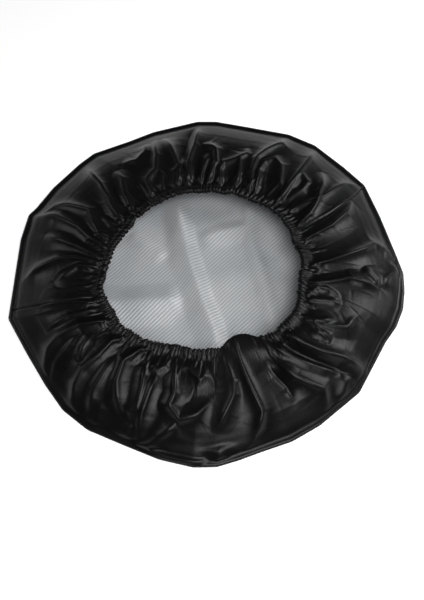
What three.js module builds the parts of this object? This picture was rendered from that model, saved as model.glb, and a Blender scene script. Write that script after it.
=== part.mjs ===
// Spare tyre cover, lying collapsed on its face with the elasticated mouth up.
//
// A faux-leather face disc and a two-piece band are sewn together round the edge of the disc.
// The band folds up off the floor, slopes inwards and is gathered onto an elastic cord that runs
// in a turned hem. Both cloths are backed by a ribbed lining.
//
// Millimetres, +Z up. The origin is on the floor, under the middle of the cover's outline.
// Every ring-shaped piece is drawn as a section at a nominal round cover, and then wrapped
// round the axis and pulled out to the real outline and the real mouth.

import * as THREE from "three";

// Driving dimensions.
const FACE_RADIUS = 370; // nominal sewn radius, for tyres of 27 to 29 inches
const MOUTH_RADIUS = 172; // nominal inside radius of the relaxed mouth
const MOUTH_HEIGHT = 57; // height of the elastic's centre above the floor
const VINYL = 0.8; // thickness of the faux leather
const LINING = 0.6; // thickness of the ribbed lining
const GAP = 0.3; // clearance between touching pieces
const THREAD = 0.9; // width and height of a line of stitching
const ELASTIC_RADIUS = 2.2; // the cord in the hem
const CASING_RADIUS = 4; // outside of the hem casing round the cord
const HEM_DEPTH = 13; // from the mouth to the line of hem stitching
const HEM_ALLOWANCE = 16; // how far the turned edge reaches back under the band
const TURNED_EDGE_DROP = 2.4; // how far the turned edge lies below the cord's centre
const SEAM_INSET = 2.1; // from the sewn edge of the face to its stitching
const FACE_LINING_INSET = 4; // from the sewn edge of the face to the edge of its lining

// The band in section, from the sewn edge inwards: how far each point lies outside the nominal
// sewn radius, and its height. The last run in to the hem follows from the mouth.
const BAND_PROFILE = [
  [0, VINYL + GAP], [-2, 8], [-9, 17], [-24, 28], [-52, 42], [-90, 54], [-130, 60.5],
];
const PROFILE_STEPS = 9; // facets along that section
const CASING_TURNS = [110, 185, 265]; // degrees round the cord, from its top to its underside

// Between these nominal radii, a point changes from following the mouth to following the outline.
const HEM_SIDE = MOUTH_RADIUS + HEM_ALLOWANCE + 4;
const SEAM_SIDE = FACE_RADIUS - 20;

// The two joins between the band panels, in degrees anticlockwise from +X.
const RIGHT_JOIN = 33;
const LEFT_JOIN = 192;
const JOIN_INSET = 0.05; // degrees between a panel's end and its join
const LINING_INSET = 0.6; // degrees, which leaves room for the join's stitching
const STITCH_HALF_SPAN = 0.07; // degrees
const STATIONS = 120; // steps all the way round the axis

// Corners of the sewn outline as it lies, degrees and millimetres, with straight runs between.
const OUTLINE = [
  [0, 374], [6, 367], [21, 366], [33, 379], [42, 376], [54, 381], [63, 378], [78, 367], [87, 372],
  [93, 372], [108, 361], [117, 357], [129, 369], [135, 367], [147, 367], [156, 369], [159, 375],
  [168, 368], [195, 377], [207, 364], [219, 365], [228, 372], [237, 373], [249, 368], [258, 374],
  [267, 380], [273, 379], [279, 371], [285, 365], [294, 365], [303, 363], [318, 364], [336, 357],
  [342, 367], [348, 373], [354, 374],
];

// Radius of the mouth, degrees and millimetres, with smooth runs between.
const MOUTH = [
  [0, 174], [12, 166], [36, 165], [48, 161], [60, 158], [72, 152], [96, 150], [120, 152],
  [150, 154], [162, 158], [174, 168], [192, 187], [204, 199], [228, 200], [240, 195], [252, 186],
  [276, 183], [306, 191], [324, 190], [336, 181], [348, 173],
];

const BLACK_VINYL = { color: 0x0b0b0c, roughness: 0.38, metalness: 0 };
const GREY_TWILL = { color: 0x9ba1a8, roughness: 0.8, metalness: 0 };
const BLACK_ELASTIC = { color: 0x141414, roughness: 0.9, metalness: 0 };
const BLACK_THREAD = { color: 0x101010, roughness: 0.7, metalness: 0 };

const { clamp, degToRad, lerp, radToDeg } = THREE.MathUtils;
const smooth = (share) => share * share * (3 - 2 * share);

// The pair of neighbours in a table round the axis that an angle in degrees lies between.
function neighbours(table, degrees) {
  const at = ((degrees % 360) + 360) % 360;
  const index = table.findLastIndex(([angle]) => angle <= at + 1e-9);
  const [low, lowRadius] = table[index];
  const [high, highRadius] = table[index + 1] ?? [table[0][0] + 360, table[0][1]];
  return { at, low, lowRadius, high, highRadius };
}

// Radius of the sewn outline, which is straight between its corners.
function outlineRadius(degrees) {
  const { at, low, lowRadius, high, highRadius } = neighbours(OUTLINE, degrees);
  const whole = Math.sin(degToRad(high - low));
  const near = Math.sin(degToRad(at - low));
  const far = Math.sin(degToRad(high - at));
  return (lowRadius * highRadius * whole) / (lowRadius * near + highRadius * far);
}

function mouthRadius(degrees) {
  const { at, low, lowRadius, high, highRadius } = neighbours(MOUTH, degrees);
  return lerp(lowRadius, highRadius, smooth((at - low) / (high - low)));
}

// Pulls a point of the nominal round cover out to the real outline and the real mouth.
function wrapped(radius, degrees, height) {
  const share = clamp((radius - HEM_SIDE) / (SEAM_SIDE - HEM_SIDE), 0, 1);
  const atMouth = mouthRadius(degrees) - MOUTH_RADIUS;
  const atSeam = outlineRadius(degrees) - FACE_RADIUS;
  const real = radius + lerp(atMouth, atSeam, share);
  return [real * Math.cos(degToRad(degrees)), real * Math.sin(degToRad(degrees)), height];
}

function eachVertex(geometry, place) {
  const position = geometry.getAttribute("position");
  for (let i = 0; i < position.count; i += 1) {
    position.setXYZ(i, ...place(position.getX(i), position.getY(i), position.getZ(i)));
  }
  geometry.computeVertexNormals();
  return geometry;
}

// A section swept between two stations, in degrees, with its closed ends drawn in by an inset.
function partRing(section, from, to, inset) {
  const steps = Math.max(1, Math.round(((to - from) * STATIONS) / 360));
  const shape = new THREE.Shape(section);
  const geometry = new THREE.ExtrudeGeometry(shape, { depth: 1, steps, bevelEnabled: false });
  return eachVertex(geometry, (radius, height, share) => {
    const degrees = clamp(lerp(to, from, share), from + inset, to - inset);
    return wrapped(radius, degrees, height);
  });
}

// A section swept all the way round, as one closed ring.
function fullRing(section) {
  const anticlockwise = THREE.ShapeUtils.isClockWise(section) ? [...section].reverse() : section;
  const geometry = new THREE.LatheGeometry([...anticlockwise, anticlockwise[0]], STATIONS);
  return eachVertex(geometry, (sideways, height, along) => {
    const degrees = radToDeg(Math.atan2(sideways, along));
    return wrapped(Math.hypot(sideways, along), degrees, height);
  });
}

// A flat disc that ends a margin inside the sewn outline.
function disc(margin, bottom, thickness) {
  const profile = [
    new THREE.Vector2(0, bottom),
    new THREE.Vector2(1, bottom),
    new THREE.Vector2(1, bottom + thickness),
    new THREE.Vector2(0, bottom + thickness),
  ];
  const geometry = new THREE.LatheGeometry(profile, STATIONS);
  return eachVertex(geometry, (sideways, height, along) => {
    const reach = outlineRadius(radToDeg(Math.atan2(sideways, along))) - margin;
    return [along * reach, sideways * reach, height];
  });
}

// A line in section moved sideways, towards the inside of the cover.
function offsetLine(line, distance) {
  return line.map((point, i) => {
    const before = line[Math.max(i - 1, 0)];
    const after = line[Math.min(i + 1, line.length - 1)];
    const into = i > 0 ? point.clone().sub(before).normalize() : null;
    const out = i < line.length - 1 ? after.clone().sub(point).normalize() : null;
    const along = (into ?? out).clone().add(out ?? into).normalize();
    const inward = new THREE.Vector2(-along.y, along.x);
    const stretch = 1 / Math.max(0.7, along.dot(out ?? into));
    return point.clone().addScaledVector(inward, distance * stretch);
  });
}

// The closed section of a cloth that lies between two depths under a line.
function clothSection(line, near, far) {
  return [...offsetLine(line, near), ...offsetLine(line, far).reverse()];
}

// A regular section round a point, such as the cord's.
function roundSection(radius, height, size, sides) {
  return Array.from({ length: sides }, (_, i) => {
    const angle = (2 * Math.PI * (i + 0.5)) / sides;
    return new THREE.Vector2(radius + size * Math.cos(angle), height + size * Math.sin(angle));
  });
}

// A line of stitching, as a square section with its sides level and upright.
function threadSection(radius, height) {
  return roundSection(radius, height, THREAD / Math.SQRT2, 4);
}

// The outside of the band in section: up from the sewn edge, in to the hem and round the cord to
// the turned edge.
function bandLine() {
  const centre = new THREE.Vector2(MOUTH_RADIUS + CASING_RADIUS, MOUTH_HEIGHT);
  const profile = BAND_PROFILE.map(([out, height]) => new THREE.Vector2(FACE_RADIUS + out, height));
  const hemStart = new THREE.Vector2(centre.x + HEM_DEPTH, centre.y + CASING_RADIUS - 1.5);
  const wall = new THREE.SplineCurve([...profile, hemStart]).getPoints(PROFILE_STEPS);
  const casing = CASING_TURNS.map((turn) => {
    const reach = new THREE.Vector2(CASING_RADIUS, 0);
    return reach.rotateAround(new THREE.Vector2(), degToRad(turn)).add(centre);
  });
  const edge = new THREE.Vector2(MOUTH_RADIUS + HEM_ALLOWANCE, MOUTH_HEIGHT - TURNED_EDGE_DROP);
  return [...wall, ...casing, edge];
}

// The stretch of the band's line that is lined, clear of the seam's stitching and of the hem.
function linedStretch(line) {
  const hem = MOUTH_RADIUS + HEM_ALLOWANCE + 3;
  return line.filter(({ x }, i) => i > 0 && x > hem);
}

function mesh(name, geometry, look) {
  const made = new THREE.Mesh(geometry, new THREE.MeshStandardMaterial(look));
  made.name = name;
  return made;
}

const cover = new THREE.Group();
const line = bandLine();
const lined = linedStretch(line);
const backing = VINYL + GAP; // depth under the outside where the next layer starts

// The face of the cover, which lies on the floor, and the lining sewn over it.
cover.add(mesh("face_panel", disc(0, 0, VINYL), BLACK_VINYL));
cover.add(mesh("face_lining", disc(FACE_LINING_INSET, backing, LINING), GREY_TWILL));

// The band in two panels, each with its own lining.
const panels = [
  { name: "upper", from: RIGHT_JOIN, to: LEFT_JOIN },
  { name: "lower", from: LEFT_JOIN, to: RIGHT_JOIN + 360 },
];
for (const { name, from, to } of panels) {
  const vinyl = clothSection(line, 0, VINYL);
  const lining = clothSection(lined, backing, backing + LINING);
  cover.add(mesh(`band_panel_${name}`, partRing(vinyl, from, to, JOIN_INSET), BLACK_VINYL));
  cover.add(mesh(`band_lining_${name}`, partRing(lining, from, to, LINING_INSET), GREY_TWILL));
}

// The elastic cord that draws the mouth in.
const elastic = roundSection(MOUTH_RADIUS + CASING_RADIUS + 0.5, MOUTH_HEIGHT, ELASTIC_RADIUS, 6);
cover.add(mesh("hem_elastic", fullRing(elastic), BLACK_ELASTIC));

// The stitching that closes the hem, and the stitching that joins the band to the face.
const hemTop = MOUTH_HEIGHT + CASING_RADIUS;
const hemStitch = threadSection(MOUTH_RADIUS + HEM_DEPTH, hemTop - GAP + THREAD);
const seamStitch = threadSection(FACE_RADIUS - SEAM_INSET, backing + GAP + THREAD / 2);
cover.add(mesh("hem_stitching", fullRing(hemStitch), BLACK_THREAD));
cover.add(mesh("perimeter_stitching", fullRing(seamStitch), BLACK_THREAD));

// The stitching of the two joins, which runs inside the band between the linings.
const joins = [
  { name: "right", at: RIGHT_JOIN },
  { name: "left", at: LEFT_JOIN },
];
for (const { name, at } of joins) {
  const section = clothSection(lined, backing, backing + THREAD);
  const strip = partRing(section, at - STITCH_HALF_SPAN, at + STITCH_HALF_SPAN, 0);
  cover.add(mesh(`join_stitching_${name}`, strip, BLACK_THREAD));
}

// The outline isn't symmetric, so the group is moved until its middle is on the axis.
const middle = new THREE.Box3().setFromObject(cover).getCenter(new THREE.Vector3());
cover.position.set(-middle.x, -middle.y, 0);

export default cover;
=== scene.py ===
# Spare tyre cover, lying collapsed on its face with the elasticated mouth up.
#
# The band is one grid that runs round the cover: its folds are drawn along their crests, and a
# small cloth solver then lets the drawn shape settle. The hem, the stitching, the linings and the
# face all follow from that grid. Metres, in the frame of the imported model.

import math

import bpy
import numpy as np
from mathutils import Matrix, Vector


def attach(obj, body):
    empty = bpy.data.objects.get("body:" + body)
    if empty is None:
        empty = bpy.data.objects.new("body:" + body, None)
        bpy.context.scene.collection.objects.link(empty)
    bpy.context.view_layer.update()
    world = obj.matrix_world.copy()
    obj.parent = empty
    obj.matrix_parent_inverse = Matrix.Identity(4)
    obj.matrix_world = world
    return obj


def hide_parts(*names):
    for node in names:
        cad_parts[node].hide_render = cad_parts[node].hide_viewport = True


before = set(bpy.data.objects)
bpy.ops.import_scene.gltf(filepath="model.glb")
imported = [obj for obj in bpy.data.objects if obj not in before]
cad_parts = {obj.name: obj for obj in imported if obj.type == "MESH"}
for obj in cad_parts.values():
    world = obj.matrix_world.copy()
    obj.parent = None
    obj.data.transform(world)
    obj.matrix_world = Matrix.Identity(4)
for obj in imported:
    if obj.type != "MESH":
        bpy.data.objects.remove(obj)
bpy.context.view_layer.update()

AXIS = np.array([-0.0049, 0.0040])  # the middle of the ring of elastic, in plan

# The cover's own sizes.
VINYL = 0.0008
LINING = 0.0006
CASING = 0.004  # outside radius of the hem round the cord
CORD = 0.0022
HEM_DEPTH = 0.013  # from the mouth to the line of hem stitching
HEM_HEIGHT = 0.0605  # of that line
CASING_HEIGHT = 0.057  # of the casing's middle
CORD_HEIGHT = 0.0572
BAND_ACROSS = 0.21  # rough width of the band along its section, seam to hem stitching
LINING_GAP = 0.0004  # between the band and its lining
FACE_GAP = 0.0003  # between the face and its lining
FACE_LINING_INSET = 0.004
SEAM_INSET = 0.0032  # from the sewn edge to its stitching
RUFFLES = 164  # small pleats in the hem
RIB_PITCH = 0.0056
RIGHT_JOIN, LEFT_JOIN = 33, 192  # degrees
RIGHT_LEAN, LEFT_LEAN = -15, 11  # degrees from the seam to the hem, along each join
LEAN_SPREAD = 27  # degrees either side of a join in which the cloth leans with it
FLOP_MIDDLE, FLOP_HALF = 288.5, 14.0  # degrees: the loop of cloth that has flopped over the hem
FLOP_START = 0.72  # share of the way in from which that loop rises

# Rows of stitches: pitch, length and thickness of a stitch.
HEM_STITCH = (0.0042, 0.0034, 0.0009)
PERIMETER_STITCH = (0.0046, 0.0037, 0.0008)
JOIN_STITCH = (0.0042, 0.0034, 0.0008)
# A stitch along its length, in shares of its size: place, thickness, lift off the cloth.
STITCH_SHAPE = [
    (-0.5, 0.35, -0.9), (-0.42, 0.8, -0.1), (-0.2, 1, 0.35),
    (0.2, 1, 0.35), (0.42, 0.8, -0.1), (0.5, 0.35, -0.9),
]

# Size of the grids: rows from the seam to the hem, and columns all the way round.
SIM_ROWS, SIM_COLUMNS = 72, 960
ROWS, COLUMNS = 60, 1152

# The band in section without its folds: share of the way in from the seam to the hem, and height.
PROFILE = [
    (0, 0.0011), (0.04, 0.0052), (0.09, 0.0108), (0.15, 0.0182), (0.22, 0.0265), (0.30, 0.0350),
    (0.41, 0.0445), (0.55, 0.0530), (0.72, 0.0590), (0.87, 0.0615), (1, HEM_HEIGHT),
]

# Section of the hem from its stitching over the cord and back under: out from the mouth, height.
HEM_SECTION = [
    (0.0130, 0.0605), (0.0118, 0.0606), (0.0095, 0.0611), (0.0068, 0.0616), (0.0043, 0.0616),
    (0.0019, 0.0606), (0.0005, 0.0588), (0.0000, 0.0568), (0.0007, 0.0548), (0.0025, 0.0533),
    (0.0050, 0.0529), (0.0080, 0.0535), (0.0115, 0.0543), (0.0160, 0.0548),
]

# Crests of the folds: degrees and share of the way in along each, and the fold's strength.
# A negative strength is a groove. The lines were picked on the photograph, and a scratch script
# turned them into these units: report.md says how far the table is that script's output.
CRESTS = [
    ([(184, .10), (180, .50), (180, .67), (184, .95)], 1.0),
    ([(189, .50), (187, .63), (184, .74), (186, .92)], .7),
    ([(160, .03), (160, .34), (164, .61), (169, .77), (174, .98)], 1.0),
    ([(160, .12), (155, .22), (154, .36), (154, .60), (158, .69), (166, .84), (170, .95)], 1.0),
    ([(154, .70), (158, .87), (163, 1.0)], .6),
    ([(135, .10), (140, .49), (145, .71), (155, .97)], 1.1),
    ([(168, .28), (171, .50), (174, .68), (178, .84), (182, .98)], .9),
    ([(131, .45), (132, .61), (138, .78), (143, .95)], .9),
    ([(113, .20), (115, .36), (121, .46), (126, .38)], .8),
    ([(109, .18), (112, .48), (116, .67), (123, .75), (127, .95)], .9),
    ([(106, .20), (105, .40), (104, .69), (106, .86), (111, .97)], .9),
    ([(112, .92), (108, .77), (104, .70), (102, .95)], .6),
    ([(118, .90), (115, .77), (112, .72)], .6),
    ([(92, .08), (95, .46), (99, .68), (102, .96)], 1.1),
    ([(94, .10), (98, .40), (103, .70)], -.8),
    ([(88, .56), (92, .79), (95, .97)], .8),
    ([(93, .44), (89, .48), (86, .54), (85, .71), (89, .95)], 1.0),
    ([(73, .42), (72, .53), (75, .61), (81, .69), (83, .80), (81, .93)], .9),
    ([(75, .55), (72, .80), (71, .93)], .7),
    ([(63, .05), (62, .25), (65, .42), (67, .57), (66, .74), (62, .92)], 1.1),
    ([(58, .95), (63, .71), (63, .58), (60, .50), (56, .55), (52, .69), (45, .85)], .9),
    ([(53, .02), (50, .30), (48, .51), (46, .71), (43, .90)], .8),
    ([(43, .66), (47, .52), (42, .55), (40, .67), (41, .86)], .6),
    ([(43, .30), (35, .55), (31, .64), (26, .79), (22, .95)], 1.0),
    ([(33, .00), (35, .20), (34, .37), (32, .57), (33, .9)], .6),
    ([(27, .28), (22, .43), (17, .62), (11, .94)], .9),
    ([(4, .01), (8, .15), (8, .25), (5, .39), (2, .55), (358, .75), (354, .95)], 1.2),
    ([(352, .26), (355, .37), (358, .43)], .7),
    ([(352, .26), (357, .17), (3, .02)], .7),
    ([(351, .26), (351, .56), (347, .73), (343, .92)], 1.1),
    ([(336, .95), (342, .87), (343, .76), (340, .62)], .8),
    ([(334, .94), (336, .82), (338, .69), (339, .57)], .6),
    ([(332, .57), (327, .71), (325, .78), (322, .70), (323, .58), (321, .50)], 1.0),
    ([(325, .74), (331, .44), (338, .38)], .6),
    ([(311, .90), (314, .70), (317, .52), (321, .33), (323, .14), (324, .01)], 1.4),
    ([(307, .88), (310, .70), (313, .50), (317, .33), (319, .14)], -1.2),
    ([(301, .95), (308, .65), (312, .48), (315, .35), (318, .21)], .8),
    ([(300, .74), (303, .50), (309, .26), (308, .14), (307, .06)], 1.0),
    ([(296, .70), (299, .44), (299, .28)], -.7),
    ([(281, .95), (285, .82), (286, .65), (287, .49), (288, .33), (286, .22), (281, .06)], 1.2),
    ([(279, .85), (281, .67), (280, .55), (276, .40), (273, .26)], .9),
    ([(274, .16), (274, .02)], .6),
    ([(319, .22), (314, .11), (312, .04)], .7),
    ([(197, .35), (200, .62), (203, .78), (207, .95)], .7),
    ([(206, .30), (206, .60), (209, .9)], .5),
    ([(218, .02), (215, .09), (212, .23), (211, .40), (212, .64), (218, .95)], 1.1),
    ([(219, .08), (217, .21), (215, .60)], .5),
    ([(224, .40), (220, .54), (218, .73)], .6),
    ([(233, .03), (229, .13), (227, .25), (226, .41), (227, .62), (227, .82), (230, .95)], 1.1),
    ([(235, .10), (233, .33), (232, .74)], .8),
    ([(238, .05), (237, .28)], .4),
    ([(244, .22), (241, .36), (238, .52), (236, .74), (240, .93)], 1.0),
    ([(244, .22), (247, .24), (248, .34), (247, .56), (244, .82)], 1.0),
    ([(248, .22), (247, .12), (248, .05)], .8),
    ([(251, .03), (250, .30), (250, .55), (250, .75)], 1.0),
    ([(246, .82), (250, .75), (255, .84)], .6),
    ([(256, .85), (259, .56), (258, .45), (262, .36), (267, .42), (272, .54)], 1.1),
    ([(262, .35), (257, .18), (255, .10), (250, .02)], 1.1),
    ([(257, .11), (257, .05), (260, .03), (271, .05)], .7),
    ([(260, .88), (268, .74), (272, .80)], .8),
]
FOLD_HEIGHT = 0.0108
FOLD_WIDTH = 0.0115
SMALL_FOLD_HEIGHT = 0.0034
SMALL_FOLD_WIDTH = 0.006
SMALL_FOLD_STEP = (4.5, 10)  # least and most degrees from one small fold to the next
CREST_ROUNDING = 0.0016  # radius
FOLD_MIDDLE = 0.275  # radius at which the folds' angles are turned into lengths
BAND_REACH = 0.198  # length at which their shares of the way in are
SINK = 0.8  # share of the folds' mean height that is taken off the band again
SINK_ALONG, SINK_ACROSS = 0.060, 0.040  # how far round and across that mean reaches
# How much longer round the cover the cloth is than drawn, by share of the way in.
SPARE_CLOTH = ([0, 0.2, 0.7, 1], [1, 1, 1.01, 1.07])

# The pleats at the hem: height, and how far out from the hem they fade.
FINE_PLEAT, FINE_FADE = 0.0027, 0.006
COARSE_PLEAT, COARSE_FADE = 0.0020, 0.013
# The same pleats round the casing.
FINE_CASING_PLEAT, COARSE_CASING_PLEAT = 0.0024, 0.0018

# Creases of the face's lining, in plan from the axis: path, height, width of the side on the
# left and on the right of the path as it runs. The first four came about as the crests did.
LINING_CREASES = [
    (
        [(-.030, -.19), (.016, -.152), (-.006, -.07), (-.031, .017), (-.047, .097), (-.066, .20)],
        .0185, .034, .024,
    ),
    ([(.13, -.13), (.110, -.057), (.095, .01), (.081, .090), (.083, .20)], .0080, .012, .024),
    ([(-.035, -.060), (-.113, -.066), (-.23, -.070)], .0180, .052, .040),
    ([(.095, .108), (.042, .094), (-.020, .072)], .0085, .034, .020),
    ([(-.075, .03), (-.11, .055), (-.15, .09)], .0060, .024, .018),
]


# ---- fields on the grid, which closes on itself: its last column is its first one again ----

def smooth_ring(values, sigma):
    freq = np.fft.rfftfreq(len(values))
    return np.fft.irfft(np.fft.rfft(values) * np.exp(-2 * (np.pi * freq * sigma) ** 2), len(values))


def blur(field, along, across):
    """Blurs a (rows, columns + 1) field; along and across are in steps of the grid."""
    body = field[:, :-1]
    n = body.shape[1]
    freq = np.fft.rfftfreq(n)
    keep = np.exp(-2 * (np.pi * freq * along) ** 2)
    body = np.fft.irfft(np.fft.rfft(body, axis=1) * keep, n, axis=1)
    m = body.shape[0]
    body = np.concatenate([body, body[::-1]], 0)
    freq = np.fft.rfftfreq(2 * m)[:, None]
    keep = np.exp(-2 * (np.pi * freq * across) ** 2)
    body = np.fft.irfft(np.fft.rfft(body, axis=0) * keep, 2 * m, axis=0)[:m]
    return np.concatenate([body, body[:, :1]], 1)


def normals(P):
    along = np.empty_like(P)
    along[:, :, 1:-1] = P[:, :, 2:] - P[:, :, :-2]
    along[:, :, 0] = P[:, :, 1] - P[:, :, -2]
    along[:, :, -1] = along[:, :, 0]
    n = np.cross(along, np.gradient(P, axis=1), axis=0)
    return n / (np.linalg.norm(n, axis=0) + 1e-12)


def catmull(a, b, c, d, t):
    return b + 0.5 * t * (c - a + t * (2 * a - 5 * b + 4 * c - d + t * (3 * (b - c) + d - a)))


def resampled(P, rows, columns):
    n = P.shape[2] - 1
    x = np.linspace(0, n, columns + 1)
    k = np.minimum(x.astype(int), n - 1)
    ahead = np.where(k + 2 > n, (k + 2) % n, k + 2)
    Q = catmull(P[:, :, (k - 1) % n], P[:, :, k], P[:, :, k + 1], P[:, :, ahead], x - k)
    m = P.shape[1] - 1
    x = np.linspace(0, m, rows + 1)
    k = np.minimum(x.astype(int), m - 1)
    t = (x - k)[:, None]
    return catmull(Q[:, np.maximum(k - 1, 0)], Q[:, k], Q[:, k + 1], Q[:, np.minimum(k + 2, m)], t)


def ramp(x):
    x = np.clip(x, 0, 1)
    return x * x * (3 - 2 * x)


def through(points, count):
    """A smooth line of points through the given ones, evenly spaced along it."""
    points = np.array(points, float)
    last = len(points) - 1
    t = np.linspace(0, last, 40 * last + 1)
    k = np.minimum(t.astype(int), last - 1)
    at = [points[np.clip(k + step, 0, last)] for step in (-1, 0, 1, 2)]
    line = catmull(*at, (t - k)[:, None])
    gone = np.concatenate([[0], np.cumsum(np.linalg.norm(np.diff(line, axis=0), axis=1))])
    share = np.linspace(0, gone[-1], count)
    return np.stack([np.interp(share, gone, line[:, i]) for i in range(line.shape[1])], 1)


# ---- the outline and the mouth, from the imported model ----

def node_points(name):
    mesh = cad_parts[name].data
    co = np.empty(len(mesh.vertices) * 3)
    mesh.vertices.foreach_get("co", co)
    return co.reshape(-1, 3)


def ring_of(points):
    """Mean radius by direction from the axis, as (degrees, metres)."""
    flat = points[:, :2] - AXIS
    degrees = np.round(np.degrees(np.arctan2(flat[:, 1], flat[:, 0])) / 3) * 3 % 360
    radius = np.hypot(flat[:, 0], flat[:, 1])
    stations = np.unique(degrees)
    return stations, np.array([radius[degrees == a].mean() for a in stations])


face_points = node_points("face_panel")
edge = np.linalg.norm(face_points[:, :2] - AXIS, axis=1) > 0.3
SEAM_DEGREES, SEAM_RADIUS = ring_of(face_points[edge])
CORD_DEGREES, CORD_RADIUS = ring_of(node_points("hem_elastic"))
CORD_TO_MOUTH = 0.0045
MOUTH_WOBBLE = 0.0020
rng = np.random.default_rng(7)
wobble = smooth_ring(rng.standard_normal(len(CORD_DEGREES)), 0.9)
MOUTH_RADIUS = smooth_ring(CORD_RADIUS - CORD_TO_MOUTH, 1.2) + MOUTH_WOBBLE * wobble / wobble.std()


def around(degrees, stations, radius):
    """Radius at any angle, straight between the stations."""
    a = np.radians(np.append(stations, stations[0] + 360))
    r = np.append(radius, radius[0])
    at = (np.asarray(degrees) - stations[0]) % 360 + stations[0]
    x = np.interp(np.radians(at), a, r * np.cos(a))
    y = np.interp(np.radians(at), a, r * np.sin(a))
    return np.hypot(x, y)


def lean(degrees):
    """How far the cloth's columns lean round the cover between the seam and the hem, in degrees."""
    total = np.zeros(len(degrees))
    for join, most in ((RIGHT_JOIN, RIGHT_LEAN), (LEFT_JOIN, LEFT_LEAN)):
        away = (degrees - join + 180) % 360 - 180
        total += most * np.exp(-(away / LEAN_SPREAD) ** 2)
    return total


def base_surface(rows, columns):
    """The band without its folds. Columns are evenly spaced along the seam from the right join."""
    seam_rounding, hem_rounding = 0.003, 0.006
    fine = RIGHT_JOIN + np.linspace(0, 360, 20001)
    a, r = np.radians(fine), around(fine, SEAM_DEGREES, SEAM_RADIUS)
    steps = np.hypot(np.diff(r * np.cos(a)), np.diff(r * np.sin(a)))
    gone = np.concatenate([[0], np.cumsum(steps)])
    degrees = np.interp(np.linspace(0, gone[-1], columns + 1), gone, fine)
    seam = smooth_ring(np.interp(degrees, fine, r)[:-1], seam_rounding * columns / gone[-1])
    seam = np.append(seam, seam[0])
    leant = lean(degrees)
    hem = around(degrees + leant, CORD_DEGREES, MOUTH_RADIUS) + HEM_DEPTH
    hem = smooth_ring(hem[:-1], hem_rounding * columns / gone[-1])
    hem = np.append(hem, hem[0])
    line = through(PROFILE, 400)
    P = np.zeros((3, rows + 1, columns + 1))
    share = np.linspace(0, 1, rows + 1)
    for j in range(columns + 1):
        radius = seam[j] + (hem[j] - seam[j]) * line[:, 0]
        far = np.hypot(np.diff(radius), np.diff(line[:, 1]))
        far = np.concatenate([[0], np.cumsum(far)])
        out = np.interp(share * far[-1], far, radius)
        up = np.interp(share * far[-1], far, line[:, 1])
        turn = np.radians(degrees[j] + leant[j] * share)
        P[:, :, j] = out * np.cos(turn), out * np.sin(turn), up
    return P, degrees, gone[-1], seam, hem


# ---- drawn folds ----

def fold(path, X, Y, width):
    """A ridge along a path of (degrees, share of the way in), 1 high at its crest."""
    points = np.array([(math.radians(a) * FOLD_MIDDLE, b * BAND_REACH) for a, b in path])
    full = 2 * math.pi * FOLD_MIDDLE
    for i in range(1, len(points)):
        points[i:, 0] -= full * round((points[i, 0] - points[i - 1, 0]) / full)
    x = (X - points[0, 0] + full / 2) % full - full / 2
    points[:, 0] -= points[0, 0]
    away = np.full(X.shape, 9.0)
    place = np.zeros(X.shape)
    gone = 0
    for (x0, y0), (x1, y1) in zip(points[:-1], points[1:]):
        length = math.hypot(x1 - x0, y1 - y0)
        t = np.clip(((x - x0) * (x1 - x0) + (Y - y0) * (y1 - y0)) / length ** 2, 0, 1)
        d = np.hypot(x - x0 - t * (x1 - x0), Y - y0 - t * (y1 - y0))
        nearer = d < away
        away = np.where(nearer, d, away)
        place = np.where(nearer, gone + t * length, place)
        gone += length
    ridge = np.exp(-(np.sqrt(away ** 2 + CREST_ROUNDING ** 2) - CREST_ROUNDING) / width)
    fade = 0.35 * gone
    near_hem = 0.9  # a fold that ends beyond this share runs into the hem and doesn't fade
    if path[0][1] < near_hem:
        ridge *= ramp((place + 0.2 * fade) / fade)
    if path[-1][1] < near_hem:
        ridge *= ramp((gone - place + 0.2 * fade) / fade)
    return ridge


def fold_field(paths, B, seam, hem, width):
    """Height of all the folds. Shares run to a line a third of the hem's depth inside its stitching."""
    radius = np.hypot(B[0], B[1])
    X = np.arctan2(B[1], B[0]) * FOLD_MIDDLE
    Y = (seam - radius) / (seam - hem + HEM_DEPTH / 3) * BAND_REACH
    raised = np.zeros(radius.shape)
    sunk = np.zeros(radius.shape)
    for path, strength in paths:
        height = abs(strength) * fold(path, X, Y, width)
        if strength > 0:
            raised += height ** 3
        else:
            sunk = np.maximum(sunk, height)
    return np.cbrt(raised) - sunk


def small_folds():
    """Short folds that run out of the hem between the large ones."""
    folds = []
    at = 0.0
    while at < 360:
        at += rng.uniform(*SMALL_FOLD_STEP)
        outer = rng.uniform(0.72, 0.9)
        slant = rng.uniform(-4, 4)
        path = [(at + slant, outer), (at + 0.4 * slant, 0.93), (at, 1.0)]
        folds.append((path, rng.uniform(0.25, 0.55)))
    return folds


def drawn_band(rows, columns):
    B, degrees, around_length, seam, hem = base_surface(rows, columns)
    share = np.linspace(0, 1, rows + 1)[:, None]
    large = fold_field(CRESTS, B, seam, hem, FOLD_WIDTH)
    small = fold_field(small_folds(), B, seam, hem, SMALL_FOLD_WIDTH)
    height = FOLD_HEIGHT * np.interp(share, [0, 0.05, 0.3, 0.9, 1], [0.55, 0.7, 1, 1, 0.6])
    H = large * height + small * SMALL_FOLD_HEIGHT
    sink = SINK * blur(H, SINK_ALONG * columns / around_length, SINK_ACROSS * rows / BAND_ACROSS)
    # The folds fade in close to the seam, the sinking more slowly, and both end at the hem.
    H = H * ramp(share * 22) - sink * ramp(share * 5)
    H *= np.clip((1 - share) * 30, 0, 1)
    return B + normals(B) * H, B, degrees


# ---- the cloth solver, in single precision ----

single = np.float32


def pull(a, b, rest, share_a, share_b, push_only=False):
    """Moves pairs of points towards their distance at rest, by a share of the difference."""
    d = b - a
    n = np.sqrt(d[0] * d[0] + d[1] * d[1] + d[2] * d[2])
    k = n - rest
    if push_only:
        k = np.minimum(k, 0)
    d *= k / n
    a += d * share_a
    b -= d * share_b


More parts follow.
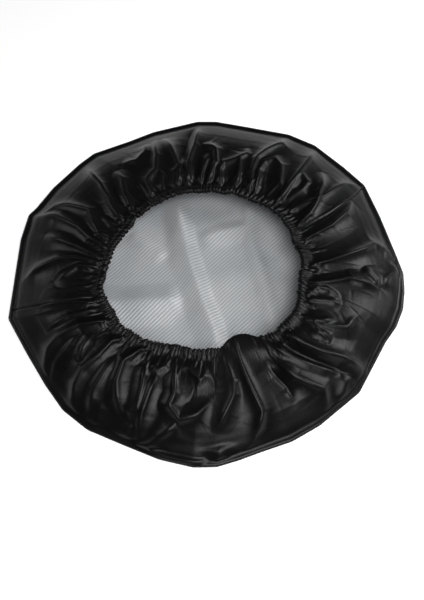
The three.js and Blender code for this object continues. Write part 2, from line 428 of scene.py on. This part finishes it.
def relax(P, along, down, cross, shear=0.35, stiff=0.05, limit=0.8):
    """One pass of the cloth's length limits. The seam and the hem row are held."""
    inner = P[:, 1:-1]
    half = single(0.5)
    rows = P.shape[1]
    free = np.ones(rows, single)
    free[0] = free[-1] = 0

    def shares(low, high, k):
        s = np.maximum(free[low] + free[high], 1)
        return (free[low] / s * k).astype(single)[:, None], (free[high] / s * k).astype(single)[:, None]

    rest = along[1:-1]
    for o in (0, 1):
        a, b = inner[:, :, o:-1:2], inner[:, :, o + 1::2]
        n = min(a.shape[2], b.shape[2])
        pull(a[:, :, :n], b[:, :, :n], rest[:, o::2][:, :n], half, half)
    index = np.arange(rows)
    for o in (0, 1):
        low = index[o:-1:2]
        A, B = P[:, low[0]:low[-1] + 1:2], P[:, low[0] + 1:low[-1] + 2:2]
        pull(A, B, down[low], *shares(low, low + 1, single(1)))
        share_a, share_b = shares(low, low + 1, single(shear))
        pull(A[:, :, :-1], B[:, :, 1:], cross[0][low], share_a, share_b)
        pull(A[:, :, 1:], B[:, :, :-1], cross[1][low], share_a, share_b)
    closed = np.concatenate([rest, rest[:, :1]], 1)
    double = closed[:, :-1] + closed[:, 1:]
    for o in range(4):
        a, b = inner[:, :, o:-2:4], inner[:, :, o + 2::4]
        n = min(a.shape[2], b.shape[2])
        a, b, two = a[:, :, :n], b[:, :, :n], double[:, o::4][:, :n]
        pull(a, b, two, single(stiff / 2), single(stiff / 2))
        pull(a, b, two * single(limit), half, half, True)
    for o in range(4):
        low = index[o:-2:4]
        A, B = P[:, low[0]:low[-1] + 1:4], P[:, low[0] + 2:low[-1] + 3:4]
        two = down[low] + down[np.minimum(low + 1, len(down) - 1)]
        pull(A, B, two, *shares(low, low + 2, single(stiff)))
        pull(A, B, two * single(limit), *shares(low, low + 2, single(1)), True)


def keep_order(P, round_way, least):
    """Keeps each column ahead of the one before it, so that no fold passes through another."""
    inner = P[:, 1:-1]
    for o in (0, 1):
        a, b = inner[:, :, o:-1:2], inner[:, :, o + 1::2]
        n = min(a.shape[2], b.shape[2])
        a, b, way = a[:, :, :n], b[:, :, :n], round_way[:, o:-1:2][:, :n]
        gap = (b[0] - a[0]) * way[0] + (b[1] - a[1]) * way[1]
        move = np.minimum(gap - least[1:-1], 0) * single(0.5)
        a[0] += move * way[0]
        a[1] += move * way[1]
        b[0] -= move * way[0]
        b[1] -= move * way[1]


def settled(P, B, degrees, steps=60, hold=300, spread=0.012, even=0.003, gravity=0.5, damp=0.95):
    """The drawn band let go as cloth, with a little more cloth than was drawn towards the hem."""
    P = P.astype(single)
    spare = np.interp(np.linspace(0, 1, P.shape[1]), *SPARE_CLOTH)[:, None]
    slack = 1.003
    closest = 0.12  # least gap between columns, as a share of their gap without folds
    lowest = 0.003  # height
    top_speed = 1.5
    dt = single(1 / 200)
    along = np.linalg.norm(np.diff(P, axis=2), axis=0)
    down = np.linalg.norm(np.diff(P, axis=1), axis=0)
    du, dv = float(along[0].mean()), float(down.mean())

    def evened(lengths):
        closed = np.concatenate([lengths, lengths[:, :1]], 1)
        return blur(closed, even / du, even / dv)[:, :-1]

    mixed = 0.25 * (spare[1:] + spare[:-1]) + 0.5 * slack
    cross = [
        (evened(np.linalg.norm(P[:, 1:, 1:] - P[:, :-1, :-1], axis=0)) * mixed).astype(single),
        (evened(np.linalg.norm(P[:, 1:, :-1] - P[:, :-1, 1:], axis=0)) * mixed).astype(single),
    ]
    along = (evened(along) * spare).astype(single)
    down = (blur(down, even / du, even / dv) * slack).astype(single)
    start = P.copy()
    turn = np.radians(degrees)
    round_way = np.stack([-np.sin(turn), np.cos(turn)]).astype(single)
    least = np.linalg.norm(np.diff(B, axis=2), axis=0).mean(1)[:, None] * closest
    least = least.astype(single)
    V = np.zeros_like(P)
    for step in range(steps):
        if step % 4 == 0:
            held = np.stack([blur(axis, spread / du, spread / dv) for axis in P - start])
            held = held.astype(single) * single(-hold)
        before = P.copy()
        V *= single(damp)
        V[2, 1:-1] -= single(gravity) * dt
        V[:, 1:-1] += held[:, 1:-1] * dt
        P[:, 1:-1] += V[:, 1:-1] * dt
        relax(P, along, down, cross)
        keep_order(P, round_way, least)
        P[:, :, 0] = P[:, :, -1] = (P[:, :, 0] + P[:, :, -1]) * single(0.5)
        np.maximum(P[2, 1:], single(lowest), out=P[2, 1:])
        V = (P - before) / dt
        fastest = np.abs(V).max()
        if fastest > top_speed:
            V *= single(top_speed / fastest)
    return P.astype(float)


# ---- the band with its hem ----

def flop_weight(degrees):
    """1 in the middle of the flopped loop and 0 beyond its ends."""
    away = np.minimum(np.abs(degrees % 360 - FLOP_MIDDLE) / FLOP_HALF, 1)
    return np.cos(away * np.pi / 2) ** 0.6


def fold_over_hem(P, degrees):
    """The loose loop of cloth at the front that has flopped over the hem."""
    weight = flop_weight(degrees)
    rows = np.where(np.linspace(0, 1, P.shape[1]) > FLOP_START)[0]
    soft = np.stack([blur(axis, 14, 0.01) for axis in P])
    target = P.copy()
    for j in np.where(weight > 0)[0]:
        start, end = soft[:, rows[0], j], soft[:, -1, j]
        r0, r1 = math.hypot(start[0], start[1]), math.hypot(end[0], end[1])
        # Radius and height: up the band, over the hem into the mouth, and back under to the hem.
        section = [
            (r0, start[2]), (r0 - 0.020, start[2] + 0.003), (r1 + 0.006, 0.0668),
            (r1 - 0.017, 0.0675), (r1 - 0.0285, 0.0650), (r1 - 0.027, 0.0627),
            (r1 - 0.014, 0.0635), (r1, HEM_HEIGHT),
        ]
        loop = through(section, len(rows))
        turn = math.radians(degrees[j])
        folds = (P - soft)[:, rows, j] * np.linspace(1, 0, len(rows))
        way = np.array([[math.cos(turn)], [math.sin(turn)]])
        target[:, rows, j] = np.concatenate([way * loop[:, 0], loop[None, :, 1]]) + folds
    return P + weight * (target - P)


def ruffle_wave(columns, count, rows):
    """Round little pleats with sharp valleys: about -0.5 to 0.5, uneven in width and height."""
    wander, height_spread, most_skew = 1.1, 0.35, 0.9
    uneven = smooth_ring(rng.standard_normal(columns), columns / count * 1.1)
    phase = np.linspace(0, count * np.pi, columns, endpoint=False) + wander * uneven / uneven.std()
    height = smooth_ring(rng.standard_normal(columns), columns / count * 0.9)
    height = np.clip(1 + height_spread * height / height.std(), 0.3, 1.8)
    skew = smooth_ring(rng.standard_normal(columns), columns / count * 4)
    skew = most_skew * skew / skew.std() * np.linspace(-1, 1, rows)[:, None]
    wave = (np.abs(np.sin(phase + skew)) - 0.6) * height
    return np.concatenate([wave, wave[:, :1]], 1)


def whole_band():
    """The band's outside from the seam to the hem, with the flopped loop and without it for the
    lining's sake, and the casing from there round the cord."""
    P, B, degrees = drawn_band(SIM_ROWS, SIM_COLUMNS)
    P = settled(P, B, degrees)
    P = resampled(P, ROWS, COLUMNS)
    B, degrees, length, seam, hem = base_surface(ROWS, COLUMNS)
    P[:, 0], P[:, -1] = B[:, 0], B[:, -1]
    flat = P
    P = fold_over_hem(P, degrees)
    from_hem = np.linspace(1, 0, ROWS + 1)[:, None] * BAND_ACROSS
    fine = ruffle_wave(COLUMNS, RUFFLES, ROWS + 1)
    coarse = ruffle_wave(COLUMNS, RUFFLES // 3, ROWS + 1)
    flopped = flop_weight(degrees)
    puff = fine * FINE_PLEAT * np.exp(-from_hem / FINE_FADE)
    puff = puff + coarse * COARSE_PLEAT * np.exp(-from_hem / COARSE_FADE)
    puff *= (0.35 + 0.65 * ramp(from_hem / 0.004)) * (1 - flopped)
    P += normals(P) * puff
    flat = flat + normals(flat) * puff
    # Under the flopped loop the lining stays down, clear of it.
    most_drop = 0.011
    clear_of_seam = ramp((0.375 - 1.8 * from_hem) / 0.1)  # 0 at the seam, 1 from 57 mm in
    flat[2] -= most_drop * np.minimum(1.6 * flopped, 1) * clear_of_seam

    section = through(HEM_SECTION, 16)[1:]
    middle = np.array([CASING, CASING_HEIGHT])
    out = section - middle
    out /= np.linalg.norm(out, axis=1)[:, None]
    share = np.linspace(0, 1, len(section))[:, None]
    lift = np.interp(share, [0, 0.12, 0.3, 0.55, 0.8, 1], [0.6, 1.1, 1.1, 0.8, 1.3, 1.5])
    wave = fine[-1] * FINE_CASING_PLEAT + coarse[-1] * COARSE_CASING_PLEAT
    turn = np.radians(degrees + lean(degrees))
    radius = (hem - HEM_DEPTH) + section[:, :1] + out[:, :1] * lift * wave
    height = section[:, 1:] + out[:, 1:] * lift * wave
    casing = np.stack([radius * np.cos(turn), radius * np.sin(turn), height])
    # The casing starts from wherever the band's last row ends.
    hem_line = np.stack([hem * np.cos(turn), hem * np.sin(turn), 0 * hem + HEM_HEIGHT])
    offset = P[:, -1:] - hem_line[:, None]
    casing += offset * np.clip(1 - share * 2, 0, 1)[None]
    return P, flat, casing, degrees, seam, hem


def join_groove(P, degrees):
    """A narrow valley with slightly puckered lips along each join, fading out at the seam."""
    groove_depth, groove_width = 0.0015, 0.0013
    lip_height, lip_place, lip_width = 0.0007, 0.0045, 0.002
    fade = ramp(np.linspace(0, 8, P.shape[1]))[:, None]
    n = normals(P)
    radius = np.hypot(P[0], P[1])
    for at in (RIGHT_JOIN, LEFT_JOIN):
        turn = (degrees - at + 180) % 360 - 180
        away = np.abs(np.radians(turn)) * radius
        groove = groove_depth * np.exp(-(away / groove_width) ** 2)
        lips = lip_height * np.exp(-((away - lip_place) / lip_width) ** 2)
        P = P - n * (groove - lips) * fade
    return P


# ---- meshes ----

def mesh_object(name, points, faces, material):
    mesh = bpy.data.meshes.new(name)
    mesh.from_pydata(points, [], faces)
    mesh.materials.append(material)
    mesh.polygons.foreach_set("use_smooth", np.full(len(faces), True))
    mesh.update()
    made = bpy.data.objects.new(name, mesh)
    bpy.context.scene.collection.objects.link(made)
    return made


def placed(P):
    """A (3, rows, columns) grid about the axis as a list of points in the frame."""
    Q = P.reshape(3, -1).T.copy()
    Q[:, :2] += AXIS
    return Q


def grid_faces(rows, columns, closed=False):
    index = np.arange(rows * columns).reshape(rows, columns)
    if closed:
        index = np.concatenate([index, index[:, :1]], 1)
    a, b, c, d = index[:-1, :-1], index[:-1, 1:], index[1:, 1:], index[1:, :-1]
    return np.stack([a, b, c, d], -1).reshape(-1, 4)


def thick_sheet(name, top, bottom, material, closed=False):
    """A closed cloth from its upper and its under side, (3, rows, columns) each."""
    rows, columns = top.shape[1:]
    count = rows * columns
    up = grid_faces(rows, columns, closed)
    index = np.arange(count).reshape(rows, columns)
    loops = [index[0], index[-1][::-1]]
    if not closed:
        loops = [np.concatenate([index[0], index[1:, -1], index[-1, -2::-1], index[-2::-1, 0]])]
    sides = []
    for loop in loops:
        ring = np.append(loop, loop[0]) if closed else loop
        a, b = ring[:-1], ring[1:]
        sides.append(np.stack([b, a, a + count, b + count], -1))
    down = (up + count)[:, ::-1]
    faces = np.concatenate([up, down] + sides).tolist()
    points = np.concatenate([placed(top), placed(bottom)])
    return mesh_object(name, points, faces, material)


def tube_faces(rings, sides, closed=True):
    index = np.arange(rings * sides).reshape(rings, sides)
    index = np.concatenate([index, index[:, :1]], 1)
    if closed:
        index = np.concatenate([index, index[:1]], 0)
    a, b, c, d = index[:-1, :-1], index[:-1, 1:], index[1:, 1:], index[1:, :-1]
    return np.stack([a, b, c, d], -1).reshape(-1, 4)


def stitches(name, line, up, size):
    """A row of short stitches along a (3, n) line; up is each point's direction off the cloth."""
    pitch, length, thick = size
    jitter = 0.0002
    ahead = 0.0004  # to the point that gives the line's direction
    gone = np.concatenate([[0], np.cumsum(np.linalg.norm(np.diff(line, axis=1), axis=0))])
    count = int(gone[-1] / pitch)
    points, faces = [], []
    sides = 6
    for i in range(count):
        middle = (i + 0.5) * gone[-1] / count + rng.uniform(-jitter, jitter)
        base = len(points)
        for place, girth, lift in STITCH_SHAPE:
            at = middle + place * length
            p = np.array([np.interp(at, gone, line[k]) for k in range(3)])
            q = np.array([np.interp(at + ahead, gone, line[k]) for k in range(3)])
            n = np.array([np.interp(at, gone, up[k]) for k in range(3)])
            way = (q - p) / (np.linalg.norm(q - p) + 1e-12)
            side = np.cross(n, way)
            side /= np.linalg.norm(side) + 1e-12
            n = np.cross(way, side)
            for s in range(sides):
                a = 2 * math.pi * s / sides
                bend = side * math.cos(a) + n * math.sin(a)
                points.append(p + n * lift * thick / 2 + bend * girth * thick / 2)
        faces += (tube_faces(len(STITCH_SHAPE), sides, closed=False) + base).tolist()
        faces.append([base + s for s in range(sides)][::-1])
        last = base + (len(STITCH_SHAPE) - 1) * sides
        faces.append([last + s for s in range(sides)])
    points = np.array(points)
    points[:, :2] += AXIS
    return mesh_object(name, points, faces, THREAD_LOOK)


# ---- materials ----

def nodes_of(name, color, roughness):
    material = bpy.data.materials.new(name)
    material.use_nodes = True
    tree = material.node_tree
    shader = tree.nodes["Principled BSDF"]
    shader.inputs["Base Color"].default_value = (*color, 1)
    shader.inputs["Roughness"].default_value = roughness
    return material, tree, shader


def add(tree, kind, **values):
    node = tree.nodes.new(kind)
    for key, value in values.items():
        if key in node.inputs:
            node.inputs[key].default_value = value
        else:
            setattr(node, key, value)
    return node


def object_place(tree, turn=0):
    place = add(tree, "ShaderNodeTexCoord")
    mapping = add(tree, "ShaderNodeMapping")
    mapping.inputs["Rotation"].default_value = (0, 0, turn)
    tree.links.new(place.outputs["Object"], mapping.inputs["Vector"])
    return mapping.outputs["Vector"]


def noise(tree, vector, scale, detail=3, roughness=0.5):
    node = add(tree, "ShaderNodeTexNoise", Scale=scale, Detail=detail, Roughness=roughness)
    tree.links.new(vector, node.inputs["Vector"])
    return node.outputs["Fac"]


def ranged(tree, value, low, high, from_low=0.3, from_high=0.7):
    node = add(tree, "ShaderNodeMapRange")
    node.inputs["From Min"].default_value = from_low
    node.inputs["From Max"].default_value = from_high
    node.inputs["To Min"].default_value = low
    node.inputs["To Max"].default_value = high
    tree.links.new(value, node.inputs["Value"])
    return node.outputs["Result"]


def mixed_color(tree, factor, first, second):
    node = add(tree, "ShaderNodeMix", data_type="RGBA")
    node.inputs["A"].default_value = (0, 0, 0, 1)
    for socket, value in (("A", first), ("B", second)):
        target = [s for s in node.inputs if s.name == socket and s.type == "RGBA"][0]
        if isinstance(value, tuple):
            target.default_value = (*value, 1)
        else:
            tree.links.new(value, target)
    factor_in = [s for s in node.inputs if s.name == "Factor" and s.type == "VALUE"][0]
    tree.links.new(factor, factor_in)
    return [s for s in node.outputs if s.type == "RGBA"][0]


def bump(tree, height, strength, distance, before=None):
    node = add(tree, "ShaderNodeBump")
    node.inputs["Strength"].default_value = strength
    node.inputs["Distance"].default_value = distance
    tree.links.new(height, node.inputs["Height"])
    if before is not None:
        tree.links.new(before, node.inputs["Normal"])
    return node.outputs["Normal"]


def vinyl_material():
    """Satin black faux leather: a fine pebbled grain, faint broad unevenness, dust on the crests."""
    material, tree, shader = nodes_of("black_faux_leather", (0.003, 0.003, 0.0033), 0.38)
    where = object_place(tree)
    grain = add(tree, "ShaderNodeTexVoronoi", Scale=760.0, feature="SMOOTH_F1")
    tree.links.new(where, grain.inputs["Vector"])
    fine = noise(tree, where, 2600, 2)
    broad = noise(tree, where, 75, 4)
    patches = noise(tree, where, 14, 3)
    darker, paler, dust = (0.0022, 0.0022, 0.0025), (0.0040, 0.0040, 0.0043), (0.009, 0.009, 0.0095)
    color = mixed_color(tree, ranged(tree, patches, 0, 1), darker, paler)
    worn = add(tree, "ShaderNodeNewGeometry")
    crests = ranged(tree, worn.outputs["Pointiness"], 0, 0.5, 0.51, 0.58)
    dusty = mixed_color(tree, crests, color, dust)
    tree.links.new(dusty, shader.inputs["Base Color"])
    tree.links.new(ranged(tree, patches, 0.32, 0.39), shader.inputs["Roughness"])
    shader.inputs["Specular IOR Level"].default_value = 0.19
    first = bump(tree, broad, 0.35, 0.0007)
    second = bump(tree, grain.outputs["Distance"], 0.22, 0.00025, first)
    tree.links.new(bump(tree, fine, 0.12, 0.0001, second), shader.inputs["Normal"])
    return material


def lining_material():
    """Silvery grey ribbed knit, with shade painted between the ribs and a fine stitch along each."""
    material, tree, shader = nodes_of("grey_ribbed_lining", (0.40, 0.42, 0.44), 0.62)
    where = object_place(tree, turn=math.radians(-45))
    plain = object_place(tree)
    ribs = add(tree, "ShaderNodeTexWave", wave_type="BANDS", bands_direction="Y")
    ribs.inputs["Scale"].default_value = 2 * math.pi / RIB_PITCH / 20  # one band to a pitch
    tree.links.new(where, ribs.inputs["Vector"])
    stitch = add(tree, "ShaderNodeTexVoronoi", Scale=900.0)
    tree.links.new(plain, stitch.inputs["Vector"])
    fuzz = noise(tree, plain, 1500, 3)
    cloudy = noise(tree, plain, 9, 4)
    darker, paler = (0.43, 0.455, 0.48), (0.60, 0.61, 0.615)
    # The second of these colours is painted shade for the grooves between the ribs.
    between_stitches, groove_shade_color = (0.28, 0.29, 0.305), (0.17, 0.18, 0.195)
    color = mixed_color(tree, ranged(tree, cloudy, 0, 1), darker, paler)
    loops = ranged(tree, stitch.outputs["Distance"], 0, 0.35, 0.1, 0.6)
    color = mixed_color(tree, loops, color, between_stitches)
    # Painted shade: the colour darkens towards the groove between each pair of ribs.
    painted_groove_shade = ranged(tree, ribs.outputs["Fac"], 0.7, 0, 0.0, 0.5)
    color = mixed_color(tree, painted_groove_shade, color, groove_shade_color)
    tree.links.new(color, shader.inputs["Base Color"])
    tree.links.new(ranged(tree, fuzz, 0.32, 0.46), shader.inputs["Roughness"])
    shader.inputs["Specular IOR Level"].default_value = 0.9
    shader.inputs["Sheen Weight"].default_value = 0.15
    shader.inputs["Sheen Roughness"].default_value = 0.4
    first = bump(tree, stitch.outputs["Distance"], 0.4, 0.0004)
    tree.links.new(bump(tree, fuzz, 0.25, 0.0002, first), shader.inputs["Normal"])
    return material


def thread_material():
    """Black thread with a fine twist."""
    material, tree, shader = nodes_of("black_twisted_thread", (0.015, 0.015, 0.015), 0.55)
    where = object_place(tree, turn=0.6)
    twist = add(tree, "ShaderNodeTexWave", Scale=700.0, Distortion=1.0, wave_type="BANDS")
    twist.bands_direction = "DIAGONAL"
    tree.links.new(where, twist.inputs["Vector"])
    color = mixed_color(tree, twist.outputs["Fac"], (0.004, 0.004, 0.004), (0.012, 0.012, 0.0125))
    tree.links.new(color, shader.inputs["Base Color"])
    tree.links.new(bump(tree, twist.outputs["Fac"], 0.5, 0.0002), shader.inputs["Normal"])
    return material


def elastic_material():
    """Black elastic with a braided surface."""
    material, tree, shader = nodes_of("black_braided_elastic", (0.02, 0.02, 0.02), 0.8)
    where = object_place(tree)
    braid = add(tree, "ShaderNodeTexVoronoi", Scale=650.0)
    tree.links.new(where, braid.inputs["Vector"])
    color = mixed_color(tree, braid.outputs["Distance"], (0.03, 0.03, 0.03), (0.008, 0.008, 0.008))
    tree.links.new(color, shader.inputs["Base Color"])
    tree.links.new(bump(tree, braid.outputs["Distance"], 0.6, 0.0004), shader.inputs["Normal"])
    return material


VINYL_LOOK = vinyl_material()
LINING_LOOK = lining_material()
THREAD_LOOK = thread_material()
ELASTIC_LOOK = elastic_material()


# ---- building ----

band, unflopped, casing, degrees, seam, hem = whole_band()
band = join_groove(band, degrees)
unflopped = join_groove(unflopped, degrees)
outside = np.concatenate([band, casing], 1)
inside = outside - normals(outside) * VINYL
inside[2] = np.maximum(inside[2], 0.0003)  # off the floor

split = int(np.argmin(np.abs(degrees - LEFT_JOIN)))
spans = {"upper": slice(0, split + 1), "lower": slice(split, COLUMNS + 1)}
# The mean length of the band's section before it is folded.
section = np.linalg.norm(np.diff(base_surface(ROWS, COLUMNS)[0], axis=1), axis=0).mean(1)
pieces = []
for name, span in spans.items():
    panel = thick_sheet(f"band_panel_{name}_cloth", outside[:, :, span], inside[:, :, span],
                        VINYL_LOOK)
    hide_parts(f"band_panel_{name}")
    pieces.append(panel)
    lined = slice(3, ROWS - 1)
    down = -normals(unflopped)[:, lined, span]
    under = unflopped[:, lined, span] + down * (VINYL + LINING_GAP)
    below = under + down * LINING
    # Every other column will do for the lining, and its ends stay clear of the joins.
    keep = np.unique(np.append(np.arange(1, under.shape[2] - 1, 2), under.shape[2] - 2))
    lining = thick_sheet(f"band_lining_{name}_cloth", under[:, :, keep], below[:, :, keep],
                         LINING_LOOK)
    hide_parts(f"band_lining_{name}")
    pieces.append(lining)


# The face panel lies on the floor and ends in the seam.
def face_layer(height):
    """Rings at one height from near the middle of the face out to its sewn edge."""
    share = np.linspace(0.002, 1, 24)[:, None]
    turn = np.radians(degrees[:-1:2])
    radius = share * seam[:-1:2]
    return np.stack([radius * np.cos(turn), radius * np.sin(turn), np.full(radius.shape, height)])


face = thick_sheet("face_panel_cloth", face_layer(VINYL)[:, ::-1], face_layer(0)[:, ::-1],
                   VINYL_LOOK, closed=True)
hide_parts("face_panel")
pieces.append(face)


def crease_height(x, y):
    """Height of the lining's creases and slight waves at a place in plan."""
    total = np.zeros(x.shape)
    for path, height, left, right in LINING_CREASES:
        points = through(path, 24)
        away = np.full(x.shape, 9.0)
        place = np.zeros(x.shape)
        width = np.full(x.shape, left)
        for i, ((x0, y0), (x1, y1)) in enumerate(zip(points[:-1], points[1:])):
            length = math.hypot(x1 - x0, y1 - y0)
            t = np.clip(((x - x0) * (x1 - x0) + (y - y0) * (y1 - y0)) / length ** 2, 0, 1)
            d = np.hypot(x - x0 - t * (x1 - x0), y - y0 - t * (y1 - y0))
            nearer = d < away
            away = np.where(nearer, d, away)
            place = np.where(nearer, (i + t) / (len(points) - 1), place)
            side = (x1 - x0) * (y - y0) - (y1 - y0) * (x - x0)
            width = np.where(nearer, np.where(side > 0, left, right), width)
        slope = 1 - np.sqrt((away / width) ** 2 + 0.006)
        slope = (slope + np.sqrt(slope ** 2 + 0.01)) / 2
        ends = ramp(place / 0.2) * ramp((1 - place) / 0.2)
        total = np.maximum(total, height * ends * slope)
    waves = np.zeros(x.shape)
    steepness = 0.0060  # height of a wave as a share of its length
    raised = 0.0014  # the waves' middle above the face, which cuts off their troughs
    for turn, length in ((0.4, 0.085), (1.5, 0.11), (2.5, 0.07), (0.9, 0.047), (2.0, 0.055)):
        phase = (x * math.cos(turn) + y * math.sin(turn)) / length
        bent = 2 * math.pi * phase + 3 * math.sin(9 * turn) + 12 * (x - y)
        waves += length * np.sin(bent) * steepness
    return total + np.maximum(waves + raised, 0)


def lining_disc():
    """The lining of the face in lines along its ribs, which run up to the right at 45 degrees."""
    per_rib = (0.0, 1.0, 1.0, 0.85)  # the lines of one rib, as shares of its rise
    rise = 0.0007
    reach = seam.min() - 0.008
    lines = (int(2 * reach / RIB_PITCH) - 1) * len(per_rib)
    middle = (AXIS[1] - AXIS[0]) * math.sqrt(0.5)  # so that the ribs start from the frame's origin
    first = math.ceil((middle - reach) / RIB_PITCH)
    across = (first + np.arange(lines) / len(per_rib)) * RIB_PITCH - middle
    seen = 0.62  # share of a line's half length that shows through the mouth, and has more points
    before = np.linspace(-1, -seen, 8)[:-1]
    after = np.linspace(seen, 1, 8)[1:]
    shares = np.concatenate([before, np.linspace(-seen, seen, 76), after])
    c = s = math.sqrt(0.5)
    angle = np.radians(degrees[:-1])
    edge_radius = seam[:-1] - FACE_LINING_INSET
    ex, ey = edge_radius * np.cos(angle), edge_radius * np.sin(angle)
    u, v = ex * c + ey * s, -ex * s + ey * c
    order = np.argsort(v)
    right, left = order[u[order] > 0], order[u[order] <= 0]
    high = np.interp(across, v[right], u[right])
    low = np.interp(across, v[left], u[left])
    along = low + (high - low) * (shares[:, None] + 1) / 2
    V = np.broadcast_to(across, along.shape)
    x, y = along * c - V * s, along * s + V * c
    lift = crease_height(x, y)
    relief = rise * np.tile(per_rib, lines // len(per_rib))
    edge = around(np.degrees(np.arctan2(y, x)), SEAM_DEGREES, SEAM_RADIUS)
    inside_edge = ramp((edge - np.hypot(x, y)) / 0.05)
    under = VINYL + FACE_GAP + lift * inside_edge
    top = under + LINING + relief[None] * (0.4 + 0.6 * inside_edge)
    return np.stack([x, y, top]), np.stack([x, y, under])


top, under = lining_disc()
face_lining = thick_sheet("face_lining_cloth", top[:, :, ::-1], under[:, :, ::-1],
                          LINING_LOOK)
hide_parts("face_lining")
pieces.append(face_lining)

# The elastic cord inside the hem.
turn = np.radians((degrees + lean(degrees))[:-1:3])
cord_radius = (hem - HEM_DEPTH + CASING + 0.0002)[:-1:3]
sides = 12
roll = 2 * np.pi * np.arange(sides) / sides
cord = np.stack([
    (cord_radius[:, None] + CORD * np.cos(roll)) * np.cos(turn)[:, None],
    (cord_radius[:, None] + CORD * np.cos(roll)) * np.sin(turn)[:, None],
    CORD_HEIGHT + CORD * np.sin(roll) + 0 * turn[:, None],
])
elastic = mesh_object("hem_elastic_cord", placed(cord), tube_faces(len(turn), sides).tolist(),
                      ELASTIC_LOOK)
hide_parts("hem_elastic")
pieces.append(elastic)

# Stitching.
up = normals(outside)
hem_line = outside[:, ROWS, :] + up[:, ROWS, :] * 0.0001
hem_stitches = stitches("hem_stitches", hem_line, up[:, ROWS, :], HEM_STITCH)
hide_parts("hem_stitching")
turn = np.radians(degrees)
edge_radius = seam - SEAM_INSET
edge_height = np.full(len(turn), 0.0013)
edge_line = np.stack([edge_radius * np.cos(turn), edge_radius * np.sin(turn), edge_height])
edge_up = np.stack([0 * turn, 0 * turn, 0 * turn + 1])
edge_stitches = stitches("perimeter_stitches", edge_line, edge_up, PERIMETER_STITCH)
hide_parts("perimeter_stitching")
pieces += [hem_stitches, edge_stitches]
for name, column in (("right", 0), ("left", split)):
    rows = slice(4, ROWS - 1)
    line = outside[:, rows, column] - up[:, rows, column] * 0.0013
    made = stitches(f"join_stitches_{name}", line, -up[:, rows, column], JOIN_STITCH)
    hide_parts(f"join_stitching_{name}")
    pieces.append(made)

for piece in pieces:
    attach(piece, "root")

# ---- floor, light and camera ----

def floor():
    size = 25
    mesh = bpy.data.meshes.new("floor")
    corners = [(-size, -size, 0), (size, -size, 0), (size, size, 0), (-size, size, 0)]
    mesh.from_pydata(corners, [], [(0, 1, 2, 3)])
    material, _, shader = nodes_of("pale_floor", (0.9, 0.9, 0.9), 0.9)
    shader.inputs["Specular IOR Level"].default_value = 0.1
    shader.inputs["Emission Color"].default_value = (1, 1, 1, 1)
    shader.inputs["Emission Strength"].default_value = 0.36
    mesh.materials.append(material)
    made = bpy.data.objects.new("floor", mesh)
    made.location = (0, 0, -0.0003)
    bpy.context.scene.collection.objects.link(made)


def softbox(name, place, size, power):
    """A rectangular light turned to the frame's origin."""
    light = bpy.data.lights.new(name, "AREA")
    light.shape = "RECTANGLE"
    light.size, light.size_y = size
    light.energy = power
    made = bpy.data.objects.new(name, light)
    made.location = place
    made.rotation_euler = Vector(place).to_track_quat("Z", "Y").to_euler()
    bpy.context.scene.collection.objects.link(made)


floor()
softbox("key", (0.60, -1.10, 2.1), (1.5, 1.2), 45)
softbox("right", (1.9, 0.7, 1.25), (1.0, 0.8), 27)
softbox("left", (-1.9, 0.5, 1.3), (0.9, 0.7), 8)
world = bpy.data.worlds.new("studio")
bpy.context.scene.world = world
world.use_nodes = True
world.node_tree.nodes["Background"].inputs["Color"].default_value = (1, 1, 1, 1)
world.node_tree.nodes["Background"].inputs["Strength"].default_value = 0.045
bpy.context.scene.view_settings.view_transform = "Standard"

ELEVATION = math.radians(61)
DISTANCE = 1.6
aim = Vector((AXIS[0] + 0.011, AXIS[1] - 0.057, 0))
back = Vector((0, -math.cos(ELEVATION), math.sin(ELEVATION)))
camera = bpy.data.cameras.new("camera")
camera.lens = 51.5
camera.sensor_width = 36
camera_object = bpy.data.objects.new("camera", camera)
camera_object.location = aim + back * DISTANCE
camera_object.rotation_euler = back.to_track_quat("Z", "Y").to_euler()
bpy.context.scene.collection.objects.link(camera_object)
bpy.context.scene.camera = camera_object
